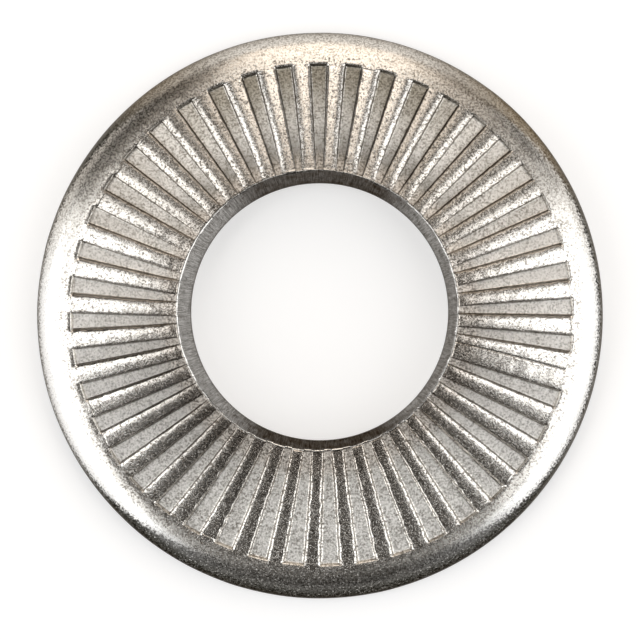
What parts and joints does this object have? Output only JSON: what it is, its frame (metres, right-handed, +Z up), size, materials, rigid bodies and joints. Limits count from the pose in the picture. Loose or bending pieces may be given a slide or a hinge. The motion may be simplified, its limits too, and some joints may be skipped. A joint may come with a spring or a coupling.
{
  "type": "contact washer",
  "caption": "Round dished spring washer with a plain bore, a rolled rim and radial grooves pressed into its convex top; it bites under a bolt head and keeps the joint tight.",
  "frame": {"origin": "Centre of the bore, on the plane the washer rests on.", "axes": "+Z runs up along the bore, from the seat to the grooved convex side. +X and +Y are the picture's right and top; the one wider land lies 12.9 degrees from +X towards -Y."},
  "size_m": [0.018, 0.018, 0.002],
  "materials": {
    "plated_steel": "nickel-grey plated steel, fine pits on the rim and lands, smooth groove floors"
  },
  "bodies": {
    "root": {"contact_washer": "plated_steel"}
  },
  "joints": []
}
